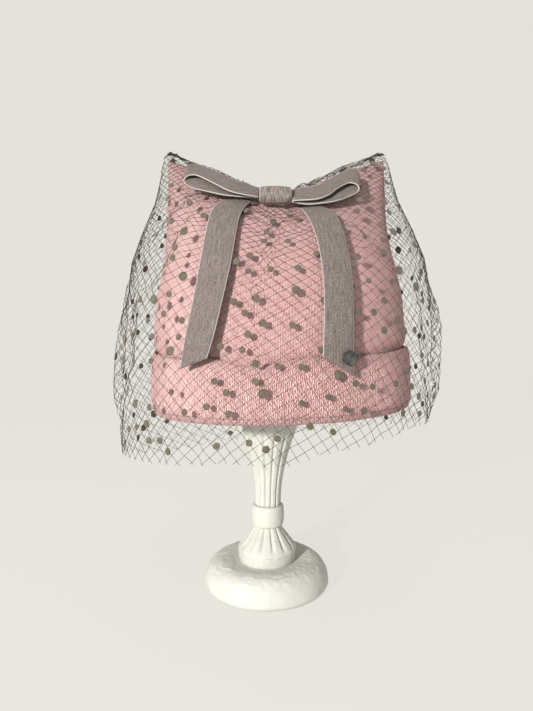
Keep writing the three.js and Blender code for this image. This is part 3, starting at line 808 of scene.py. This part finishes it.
class Cut:
    """Two panels that meet over the seam and down the sides: the half width at each distance down."""

    def __init__(self):
        rise = np.linspace(1, -0.5, FORM_STEPS)
        line = form_point(np.full(FORM_STEPS, -math.pi / 2), np.clip(rise, 0, 1), 0)
        line[:, 2] = HEM + rise * (form_height(0.0) - HEM)
        self.down, self.rise = run_of(line), rise
        self.turn = np.linspace(-math.pi / 2, 0, RING_STEPS)
        self.rings = [
            run_of(form_point(self.turn, np.full(RING_STEPS, share), 0)) for share in np.clip(rise, 0, 1)]
        self.half_width = np.array([ring[-1] for ring in self.rings]) * (1 + EASE * smooth(self.down, 10, 130))

    def half(self, b):
        return np.interp(np.abs(b), self.down, self.half_width)

    def lay(self, flat):
        """Where each knot of the flat net starts: over the seam, then down front and back."""
        a, b = flat.T
        row = np.interp(np.abs(b), self.down, np.arange(len(self.down)))
        share = np.clip(np.abs(a) / self.half(b), 0, 1)
        low = np.minimum(row.astype(int), len(self.down) - 2)
        turns = np.empty((2, len(a)))
        for k in np.unique(low):
            here = low == k
            for n in (0, 1):
                ring = self.rings[k + n]
                turns[n, here] = np.interp(share[here] * ring[-1], ring, self.turn)
        part = row - low
        turn = turns[0] * (1 - part) + turns[1] * part
        rise = np.interp(row, np.arange(len(self.rise)), self.rise)
        place = form_point(turn, np.clip(rise, 0, 1), 0)
        place[:, 0] *= np.sign(a)
        place[:, 1] *= -np.sign(b)
        place[:, 2] = HEM + rise * (form_height(place[:, 0]) - HEM)
        return place


class Net:
    """The flat net: its knots by row and column, and the pairs of knots so many apart."""

    def __init__(self):
        self.cut = Cut()
        self.away = np.linspace(0, 460, 461)
        self.close = GATHER + (1 - GATHER) * smooth(self.away, TIGHT_TO, FULL_FROM)
        self.down = np.concatenate([[0], np.cumsum((self.close[1:] + self.close[:-1]) / 2)])
        i, j = np.meshgrid(*2 * [np.arange(-REACH, REACH + 1)], indexing="ij")
        flat = self.gathered(i[..., None] * LEG_RIGHT + j[..., None] * LEG_LEFT)
        kept = (np.abs(flat[..., 0]) < self.cut.half(flat[..., 1]) + 0.3 * EDGE)
        kept &= (flat[..., 1] > -FRONT_LONG) & (flat[..., 1] < BACK_LONG)
        self.number = np.full(kept.shape, -1)
        self.number[kept] = np.arange(kept.sum())
        self.flat, self.i, self.j = flat[kept], i[kept], j[kept]
        self.seams = [self.side_seam(1), self.side_seam(-1)]

    def gathered(self, flat):
        """Where a spot of the net lies once it is drawn in towards the seam: across, and down."""
        away = np.abs(flat[..., 1])
        close = np.interp(away, self.away, self.close)
        return np.stack([flat[..., 0] * close, np.sign(flat[..., 1]) * np.interp(away, self.away, self.down)], axis=-1)

    def let_out(self, spots):
        """The other way: spots of the gathered net on the net before it is gathered."""
        away = np.interp(np.abs(spots[:, 1]), self.down, self.away)
        close = np.interp(away, self.away, self.close)
        return np.stack([spots[:, 0] / close, np.sign(spots[:, 1]) * away], axis=-1)

    def side_seam(self, side):
        """The pairs of knots that one side seam joins, from the ear to the cut edge."""
        a, b = side * self.flat[:, 0], self.flat[:, 1]
        edge = (self.cut.half(b) - a < 0.75 * EDGE) & (np.abs(b) > 2)
        front, back = (np.flatnonzero(edge & (np.sign(b) == way)) for way in (-1, 1))
        nearest = np.abs(-b[front][:, None] - b[back][None]).argmin(axis=1)
        nearest, first = np.unique(nearest, return_index=True)
        return front[first], back[nearest]

    def pairs(self, di, dj):
        """The pairs of knots so many rows and columns apart. The lattice's rim is empty, so none wraps round."""
        second = np.roll(self.number, (-di, -dj), (0, 1))
        both = (self.number >= 0) & (second >= 0)
        return self.number[both], second[both]


# Knots so far apart, how firmly they keep their distance, and the least and most of it as a share.
THREADS = [
    (1, 0, 1.0, 1, 1), (0, 1, 1.0, 1, 1), (1, 1, 0.6, 0.93, 1.07), (1, -1, 0.6, 0.93, 1.07),
    (2, 0, 0.35, 0.985, 9), (0, 2, 0.35, 0.985, 9), (4, 0, 0.12, 0.95, 9), (0, 4, 0.12, 0.95, 9),
]


def drape(net, steps):
    """Lets the net fall onto the form under its own weight, thread by thread."""
    place = net.cut.lay(net.flat) + np.random.default_rng(3).normal(0, 0.3, (len(net.flat), 3))
    groups = []
    for di, dj, firm, least, most in THREADS:
        first, second = net.pairs(di, dj)
        rest = np.linalg.norm(net.flat[first] - net.flat[second], axis=1)
        which = (net.i[first] // abs(di) if di else net.j[first] // abs(dj)) % 2
        groups += [(first[which == k], second[which == k], rest[which == k], firm, least, most) for k in (0, 1)]
    groups += [(front, back, np.full(len(front), 1.0), 0.9, 0, 1) for front, back in net.seams]
    tips = [int(np.argmin(np.hypot(net.flat[:, 0] - a, net.flat[:, 1]))) for a, _ in PEAKS]
    tied = np.flatnonzero((np.abs(net.flat - TIE) < TIED_HALF).all(axis=1))
    bunch = net.cut.lay((net.flat[tied] - TIE) * [TIED_CLOSE, 1] + TIE)
    speed = np.zeros_like(place)
    for _ in range(steps):
        moved = place + KEPT_SPEED * speed + np.array([0, 0, -FALL])
        for turn in range(4):
            for first, second, rest, firm, least, most in groups:
                gap = moved[second] - moved[first]
                long = np.sqrt((gap * gap).sum(1)) + 1e-9
                wanted = np.clip(long, rest * least, rest * most)
                pull = (0.5 * firm * (long - wanted) / long)[:, None] * gap
                moved[first] += pull
                moved[second] -= pull
            moved[tips] = [peak for _, peak in PEAKS]
            moved[tied] = bunch
            if turn % 2:
                depth, out = above_form(moved)
                low = depth < 0
                moved[low] -= depth[low, None] * out[low]
                slid = moved[low] - place[low]
                slid -= (slid * out[low]).sum(1)[:, None] * out[low]
                moved[low] -= slid * np.where(np.linalg.norm(slid, axis=1)[:, None] < STUCK, 1, SLOWED)
                depth, out = above_form(moved, OUTER_ROWS)
                high = (depth > 0) & (moved[:, 2] < RIDGE + 12)
                moved[high] -= 0.6 * depth[high, None] * out[high]
        speed = np.clip(moved - place, -FASTEST, FASTEST)
        place = moved
    return place


# Creases in the front of the net: points across and up the hat, half width, pull, and how far it stands out.
CREASES = [
    ([(-3, 148), (-5, 130), (-8, 115), (-10.5, 96)], 15.0, 0.5, 1.0),
    ([(-9, 112), (-10.5, 101), (-17, 88), (-18.5, 74), (-18.5, 62), (-17, 46), (-14, 28), (-12, 10)], 5.5, 0.74, 2.0),
    ([(-45, 163), (-62, 158), (-73, 147), (-84, 135), (-92, 122)], 8.0, 0.82, 2.2),
    ([(-56, 148), (-67, 129), (-77, 106), (-87, 94), (-98, 84)], 8.0, 0.82, 2.2),
    ([(30, 149), (46, 133), (60, 118), (72, 106), (88, 91)], 7.5, 0.62, 1.4),
    ([(97, 100), (98.5, 72), (99, 50), (98, 20)], 6.0, 0.75, 1.2),
    ([(-104, 100), (-107, 72), (-106, 40), (-107, 8)], 6.0, 0.7, 1.0),
    ([(7, 20), (5, 6), (3, -6), (1, -18)], 5.0, 0.5, 1.5),
]


def crease(place, dice):
    """Draws the knots near each line towards it, and crumples them a little."""
    for line, wide, pull, out in CREASES:
        line = open_run(line, np.linspace(0, 1, CREASE_STEPS))
        gap = place[:, None, [0, 2]] - line[None]
        far = np.hypot(gap[..., 0], gap[..., 1])
        nearest = far.argmin(axis=1)
        rows = np.arange(len(place))
        far, gap = far[rows, nearest], gap[rows, nearest]
        fade = np.clip(np.minimum(nearest, CREASE_STEPS - 1 - nearest) / CREASE_FADE, 0, 1)
        near = pull * np.exp(-((far / wide) ** 2)) * fade * (place[:, 1] < -5)
        place[:, 0] -= near * gap[:, 0]
        place[:, 2] -= near * gap[:, 1]
        place += dice.normal(0, RUMPLE, (len(place), 3)) * (near / pull)[:, None]
        place[:, 1] -= out * np.exp(-((far / (0.6 * wide)) ** 2)) * fade * (place[:, 1] < -5)
    return place


def behind_tails(place):
    """Presses the net in behind the two tails of the bow."""
    for table in (TAIL_LEFT, TAIL_RIGHT):
        rows = np.array(table, float)[::-1]
        left, right = (np.interp(place[:, 2], rows[:, 0], rows[:, k]) for k in (1, 2))
        across = np.minimum(place[:, 0] - left, right - place[:, 0])
        near = (across > TAIL_NEAR) & (place[:, 2] > rows[0, 0] - 16) & (place[:, 2] < 163) & (place[:, 1] < 0)
        wanted = veil_front(place[near, 0], place[near, 2]) - TAIL_OFF + TAIL_CLEAR
        share = smooth(across[near], TAIL_NEAR, TAIL_FULL)
        place[near, 1] += share * np.maximum(0, wanted - place[near, 1])
    return place


def round_ears(place):
    """Lets the net down onto the seam of the hat, and rounds it over at the two ears."""
    x = place[:, 0]
    most = RIDGE + seam_height(x) + np.interp(x, *OVER_SEAM)
    over = np.maximum(0, place[:, 2] - most)
    place[:, 2] -= over * (1 - 0.25 * np.exp(-over))
    return place


def seam_fray(net, place, dice):
    """Small loose loops of thread along the gathered seam, most of them at the ears: starts and ends."""
    seam = np.flatnonzero(np.abs(net.flat[:, 1]) < 0.6 * EDGE)
    seam = seam[np.argsort(net.flat[seam, 0])]
    across = np.arange(-SEAM_END, SEAM_END + 1, 1.0)
    line = [np.interp(across, net.flat[seam, 0], place[seam, k]) for k in range(3)]
    loops = []
    for _ in range(FRAY_LOOPS):
        middle = dice.uniform(-96, 96)
        if dice.random() < 0.4:
            middle = np.sign(middle) * dice.uniform(84, 96)
        wide, tall = dice.uniform(1.2, 3.6), dice.uniform(0.3, 1.7)
        share = np.linspace(0, 1, 5)
        a = np.clip(middle + wide * (2 * share - 1) + dice.normal(0, 0.35, 5), -96, 96)
        loop = np.stack([np.interp(a, across, column) for column in line], axis=-1)
        loop[:, 1] += dice.uniform(-2.5, 2.5) * (1 - share) + dice.uniform(-2.5, 2.5) * share
        loop[:, 2] += tall * np.sin(math.pi * share) - 0.3
        loops.append(loop)
    return np.concatenate([loop[:-1] for loop in loops]), np.concatenate([loop[1:] for loop in loops])


def add_tubes(start, end, radius):
    """Three-sided open tubes: corners and faces."""
    way = end - start
    way /= np.linalg.norm(way, axis=1)[:, None] + 1e-12
    side = np.cross(way, np.where(np.abs(way[:, 2:3]) < 0.8, [[0.0, 0, 1]], [[1.0, 0, 0]]))
    side /= np.linalg.norm(side, axis=1)[:, None]
    up = np.cross(way, side)
    ring = [radius * (math.cos(t) * side + math.sin(t) * up) for t in 2 * math.pi / 3 * np.arange(3)]
    corners = np.stack([start + r for r in ring] + [end + r for r in ring], axis=1).reshape(-1, 3)
    first = 6 * np.arange(len(start))[:, None]
    faces = np.concatenate([first + [[k, (k + 1) % 3, 3 + (k + 1) % 3, 3 + k]] for k in range(3)])
    return corners, faces.tolist()


def scatter_dots(net, dice):
    """Where the dots sit on the flat net: scattered, but none touching."""
    spots = []
    cell = {}
    wide = net.cut.half_width.max()
    wanted = 4 * wide * (FRONT_LONG + BACK_LONG) / 2 / DOT_AREA
    farthest = DOT_APART[1]
    for _ in range(DOT_TRIES):
        a, b = dice.uniform(-wide, wide), dice.uniform(-FRONT_LONG, BACK_LONG)
        apart = dice.uniform(*DOT_APART)
        key = (int(a // farthest), int(b // farthest))
        near = [s for i in (-1, 0, 1) for j in (-1, 0, 1) for s in cell.get((key[0] + i, key[1] + j), [])]
        if len(spots) < wanted and all(math.hypot(a - s[0], b - s[1]) > apart for s in near):
            spots.append((a, b))
            cell.setdefault(key, []).append((a, b))
    spots = np.array(spots)
    kept = (spots[:, 1] < 20) | (dice.random(len(spots)) < 0.7)
    return spots[kept & (np.abs(spots[:, 0]) < net.cut.half(spots[:, 1]))]


def thread_runs(net, place, height, dice):
    """Where each thread from knot to knot starts and ends, cut a little unevenly at the net's edge."""
    starts, ends = [], []
    for di, dj in ((1, 0), (0, 1)):
        first, second = net.pairs(di, dj)
        uncut = (height[first] > 0) & (height[second] > 0)
        starts.append(place[first[uncut]])
        ends.append(place[second[uncut]])
        for low, high in ((first, second), (second, first)):
            part = (height[low] <= 0) & (height[high] > 0)
            low, high = low[part], high[part]
            share = np.clip(height[high] / (height[high] - height[low]), 0.05, 1)
            share = np.clip(share + dice.uniform(-0.12, 0.12, part.sum()), 0.05, 1)[:, None]
            starts.append(place[high])
            ends.append(place[high] + share * (place[low] - place[high]))
    loose_start, loose_end = seam_fray(net, place, dice)
    return np.concatenate([*starts, loose_start]), np.concatenate([*ends, loose_end])


def knot_blobs(knots):
    """A small eight-sided blob at each knot: corners and faces."""
    tips = np.array([(1, 0, 0), (0, 1, 0), (-1, 0, 0), (0, -1, 0), (0, 0, 1), (0, 0, -1)]) * (KNOT_RADIUS * MM)
    one = np.array([(0, 1, 4), (1, 2, 4), (2, 3, 4), (3, 0, 4), (1, 0, 5), (2, 1, 5), (3, 2, 5), (0, 3, 5)])
    faces = (6 * np.arange(len(knots))[:, None, None] + one).reshape(-1, 3)
    return (knots[:, None] + tips).reshape(-1, 3), faces.tolist()


def dot_blob(net, place, height, spot, dice):
    """A flocked dot at a spot of the net's lattice: corners and faces, or nothing where the net is cut away."""
    i, j = (math.floor(part) for part in spot)
    ids = net.number[i + REACH:i + REACH + 2, j + REACH:j + REACH + 2]
    if (ids < 0).any() or height[ids].min() < 0.5:
        return None
    p = settle(*place[ids.ravel()].T).reshape(2, 2, 3)
    s, t = spot[0] - i, spot[1] - j
    middle = (1 - s) * (1 - t) * p[0, 0] + s * (1 - t) * p[1, 0] + (1 - s) * t * p[0, 1] + s * t * p[1, 1]
    out = np.cross(p[1, 0] - p[0, 0] + p[1, 1] - p[0, 1], p[0, 1] - p[0, 0] + p[1, 1] - p[1, 0])
    out /= np.linalg.norm(out) + 1e-12
    away = above_form(place[ids.ravel()].mean(axis=0)[None])[1][0]
    out = 0.6 * out * np.sign(out @ away) + away
    out /= np.linalg.norm(out)
    side = np.cross(out, [0.3, 0.1, 1.0])
    side /= np.linalg.norm(side)
    up = np.cross(out, side)
    radius = dice.uniform(*(BIG_DOT if dice.random() < BIG_SHARE else SMALL_DOT))
    turns = 2 * math.pi * (np.arange(DOT_SIDES) + dice.random()) / DOT_SIDES
    reach = radius * MM * dice.uniform(0.88, 1.08, DOT_SIDES)
    stretch = dice.uniform(0.95, 1.05)
    rim = middle + (reach * np.cos(turns) * stretch)[:, None] * side + (reach * np.sin(turns) / stretch)[:, None] * up
    thick = DOT_THICKNESS * MM * out
    corners = [rim + thick * 0.6, rim - thick * 0.6, [middle + thick * 1.5, middle - thick * 1.5]]
    top, under = 2 * DOT_SIDES, 2 * DOT_SIDES + 1
    faces = []
    for k in range(DOT_SIDES):
        n = (k + 1) % DOT_SIDES
        faces += [(k, n, top), (DOT_SIDES + n, DOT_SIDES + k, under), (n, k, DOT_SIDES + k, DOT_SIDES + n)]
    return np.concatenate(corners), faces


def make_veil(thread, flock):
    net = Net()
    place = drape(net, STEPS)
    dice = np.random.default_rng(11)
    place = round_ears(behind_tails(crease(place, dice)))
    cut = HEM + HEM_SLOPE * place[:, 0] + np.interp(place[:, 0], *HEM_LIFT)
    cut -= BACK_DROP * smooth(place[:, 1], -30, 70)
    height = place[:, 2] - cut
    start, end = (settle(*points.T) for points in thread_runs(net, place, height, dice))
    parts = [
        (add_tubes(start, end, THREAD_RADIUS * MM), 0),
        (knot_blobs(settle(*place[height > 0].T)), 0),
    ]
    lattice = np.linalg.inv(np.stack([LEG_RIGHT, LEG_LEFT], axis=1)) @ net.let_out(scatter_dots(net, dice)).T
    dots = [dot_blob(net, place, height, spot, dice) for spot in lattice.T]
    parts += [(dot, 1) for dot in dots if dot]
    corners, faces, slots = [], [], []
    count = 0
    for (part_corners, part_faces), slot in parts:
        corners += part_corners.tolist()
        faces += [[count + k for k in face] for face in part_faces]
        slots += [slot] * len(part_faces)
        count += len(part_corners)
    mesh = bpy.data.meshes.new("net_veil")
    mesh.from_pydata(corners, [], faces)
    mesh.materials.append(thread)
    mesh.materials.append(flock)
    mesh.polygons.foreach_set("material_index", np.array(slots, np.int32))
    mesh.update()
    veil = bpy.data.objects.new("net_veil", mesh)
    bpy.context.scene.collection.objects.link(veil)
    finish_piece(veil, None, "dotted_net", "veil")


# ---------------------------------------------------------------- bow
def veil_front(x, z):
    """How far forward the veil's front lies at places across and above the rim."""
    x, z = np.asarray(x, float), np.asarray(z, float)
    turn, rise = np.full(x.shape, -math.pi / 2), np.full(x.shape, 0.5)
    for _ in range(80):
        half_width, half_depth = halves(VEIL_ROWS, rise)
        across, along = np.cos(turn), np.sin(turn)
        fold = 3.5 * (1 - smooth(rise, 0.1, 0.9)) * np.cos(7 * turn)
        out = fold * (0.25 + 0.75 * np.abs(across))
        seam = RIDGE + GAP + 1.2 + 1.19 * seam_height(EAR_HALF_SPAN * across)
        px, py = (half_width + out) * across, np.maximum(0, half_depth + out) * along
        pz = (HEM + HEM_SLOPE * px) * (1 - rise) + seam * rise
        pz = pz + SLOPE_AT_RIM * px * (1 - pz / (RIDGE + EAR_RISE))
        px = px - DRIFT * pz
        turn = turn + 0.004 * (x - px)
        rise = np.clip(rise + 0.003 * (z - pz), 0, 0.999)
    return py


# Along a loop: across, up and off the veil, for its lower edge and then for its upper one.
LOOP_LEFT = [
    (-17, 157.5, 3.4, -17, 168, 3.4), (-28, 157, 3.2, -28, 170, 3.2), (-42, 157.8, 2.8, -42, 171, 2.8),
    (-56, 161.7, 2.6, -55, 175, 2.6), (-67, 165.5, 2.6, -66.5, 179, 2.8), (-73, 171, 4.6, -73.3, 184.5, 4.6),
    (-70.5, 175, 7.4, -70.5, 187.5, 7.2), (-64.4, 175.8, 8, -64.4, 188.6, 7.6), (-56.5, 171.6, 8, -54, 184.6, 7.6),
    (-48.7, 166.5, 8, -44.5, 179, 7.6), (-38.2, 160, 8, -34, 172.5, 7.6), (-28, 157.5, 7.6, -25.5, 170, 7.4),
    (-17, 156.5, 7, -17, 167.5, 7),
]
LOOP_RIGHT = [
    (7, 152.5, 3.4, 7.5, 164, 3.4), (17.7, 149.5, 3.2, 18.5, 164, 3.2), (28.5, 150, 2.8, 30, 164.5, 2.8),
    (38.3, 151.7, 2.6, 40.5, 166, 2.6), (46.8, 155.3, 2.6, 49.5, 170, 2.8), (54.8, 160, 4.6, 57.5, 175, 4.6),
    (54.5, 165, 7.4, 57, 179.5, 7.2), (48.5, 167, 8, 51, 182, 7.6), (39.7, 161.7, 8, 42.5, 177, 7.6),
    (33.6, 156.2, 8, 34, 171.5, 7.6), (25.5, 152.3, 8, 26, 166.5, 7.6), (17, 152, 7.6, 17.5, 166, 7.4),
    (7, 152.2, 7, 7.5, 164.5, 7),
]
# Down a tail: height, left edge and right edge.
TAIL_LEFT = [
    (155, -43, -23), (148, -49, -27.5), (136, -52.5, -31), (105, -55.8, -34.7), (78, -59.6, -39.7),
    (55, -64.4, -45), (40.2, -68, -49.5),
]
TAIL_RIGHT = [
    (148.2, 13.5, 29), (144, 15.5, 35), (136, 18.7, 39), (118, 23.1, 42.5), (92.5, 25.4, 44.7),
    (67.5, 25.2, 44.7), (41.6, 24.2, 43.8),
]
TAIL_CUT_LEFT, TAIL_CUT_RIGHT = 7.0, 12.5  # how much longer the outer edge is
PILE = 0.9  # how thick the ribbon is
SOLID_TAIL_OFF, TAIL_OFF = 1.8, -2.0  # how far in front of the veil's solid the tails lie, in CAD and here


def on_veil(across, up, off):
    """Points so far in front of the veil's front, at places across and above the rim."""
    return np.stack([across, veil_front(across, up) - off, up], axis=-1)


def place_in_hat(points):
    return (np.asarray(points) + [HAT_X, 0, RIM]) * MM


def ribbon(name, edges, velvet, node, steps, bulge, long):
    """A velvet ribbon between two edges, bowed out a little across its width."""
    nudge = 0.002

    def place(u, v):
        low, high = (open_run(edge, v) for edge in edges)
        near, far = edges
        along = open_run(near, v + nudge) + open_run(far, v + nudge)
        along = along - open_run(near, v - nudge) - open_run(far, v - nudge)
        face = np.cross(along, high - low)
        face /= np.linalg.norm(face, axis=1)[:, None] + 1e-9
        return place_in_hat(low + (high - low) * u[:, None] + face * (bulge * np.sin(math.pi * u))[:, None])

    piece = laid(name, 14, steps, place, lambda u, v: (u, long * v), "ribbon", close=False)
    thicken(piece, 0)
    finish_piece(piece, velvet, "taupe_velvet", node)
    return piece


def make_bow(velvet, painted_highlight):
    for side, table, flat in (("left", LOOP_LEFT, 0.125), ("right", LOOP_RIGHT, 0.115)):
        table = np.array(table, float).T
        edges = on_veil(*table[:3]), on_veil(*table[3:])
        piece = ribbon("velvet_loop_" + side, edges, velvet, "bow_loop_" + side, 96, 0.0, flat)
    for side, table in (("left", TAIL_LEFT), ("right", TAIL_RIGHT)):
        table = np.array(table, float).T
        edges = []
        for edge, across, cut in (("left", table[1], TAIL_CUT_LEFT), ("right", table[2], TAIL_CUT_RIGHT)):
            z = table[0].copy()
            if edge == side:  # the tail is cut aslant, and is longer at its outer edge
                z[-1] -= cut
            edges.append(on_veil(across, z, TAIL_OFF))
        long = float(sum(run_of(edge)[-1] for edge in edges)) / 2 * MM
        piece = ribbon("velvet_tail_" + side, edges, velvet, "bow_tail_" + side, 80, 0.5, long)
    # The knot gets the velvet with the painted highlight.
    make_knot(painted_highlight)


def make_knot(velvet):
    x, z, off = -5.0, 158.5, 8.0  # across, up, and in front of the veil
    length, height, depth, slope = 23.0, 14.0, 9.6, 0.72
    centre = np.array([x, float(veil_front(x, z)) - off, z])

    def rounded(c):
        return np.sign(c) * np.abs(c) ** 0.7

    def place(u, v):
        turn = 2 * math.pi * v
        puff = 1 - 0.16 * np.abs(2 * u - 1) ** 3
        ruffle = 1 + 0.012 * np.sin(11 * turn + 3 * u)
        y = puff * ruffle * depth * rounded(np.cos(turn)) / 2
        up = puff * ruffle * height * rounded(np.sin(turn)) / 2
        c, s = math.cos(slope), math.sin(slope)
        return place_in_hat(np.stack([length * (u - 0.5), y * c + up * s, up * c - y * s], axis=-1) + centre)

    knot = laid("velvet_knot", 20, 64, place, lambda u, v: (u, 0.04 * v), "ribbon")
    thicken(knot, -1)
    finish_piece(knot, velvet, "taupe_velvet", "bow_knot")


# ---------------------------------------------------------------- charm
def make_charm(metal):
    low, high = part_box("charm")
    middle, radius, thick = (low + high) / 2, (high - low).x / 2, (high - low).y
    middle.y += (SOLID_TAIL_OFF - TAIL_OFF) * MM  # it stays on the face of its tail
    upright = (math.radians(90), 0, 0)
    deselect()
    bpy.ops.mesh.primitive_cylinder_add(
        vertices=48, radius=radius, depth=thick * 0.8, end_fill_type="NGON", location=tuple(middle), rotation=upright)
    charm = bpy.context.object
    charm.name = charm.data.name = "gunmetal_charm"
    bpy.ops.object.transform_apply(location=True, rotation=True, scale=True)
    edit_mode("DESELECT", "FACE")
    object_mode()
    for face in charm.data.polygons:
        face.select = face.normal.y < -0.9
    bpy.ops.object.mode_set(mode="EDIT")
    for width, depth in ((radius * 0.13, 0), (radius * 0.05, -0.00035), (radius * 0.3, 0.0002)):
        bpy.ops.mesh.inset(thickness=width, depth=depth)
    object_mode()
    edge = charm.modifiers.new("worn_edge", "BEVEL")
    edge.width, edge.segments, edge.limit_method = 0.0001, 2, "ANGLE"
    apply_all(charm)
    bpy.ops.object.shade_smooth()
    deselect()
    bpy.ops.mesh.primitive_torus_add(
        major_radius=0.00085, minor_radius=0.0003, major_segments=20, minor_segments=8,
        location=(middle.x, middle.y, middle.z + radius + 0.0002), rotation=upright)
    bpy.ops.object.transform_apply(location=True, rotation=True, scale=True)
    bpy.ops.object.shade_smooth()
    charm.select_set(True)
    bpy.context.view_layer.objects.active = charm
    bpy.ops.object.join()
    finish_piece(charm, metal, "gunmetal", "charm")


# ---------------------------------------------------------------- the whole
def main():
    set_camera()
    light_the_room()
    lay_backdrop(make_backdrop_paint())
    stitches = stitch_group()
    make_stand(make_chalk())
    make_crown(make_knit("crown_knit", stitches, 0.0019, 0.0016, 0.3, 0.0008, 0.9))
    make_cuff(make_knit("cuff_rib", stitches, 0.0026, 0.0022, 0.32, 0.0012, 0.95))
    make_veil(make_thread(), make_flock())
    # The second velvet, for the knot, is a copy with a painted highlight.
    make_bow(make_velvet("taupe_velvet", (32, 110, 1), 0.0), make_velvet("velvet_painted_highlight", (36, 120, 1), 0.3))
    make_charm(make_gunmetal())


main()
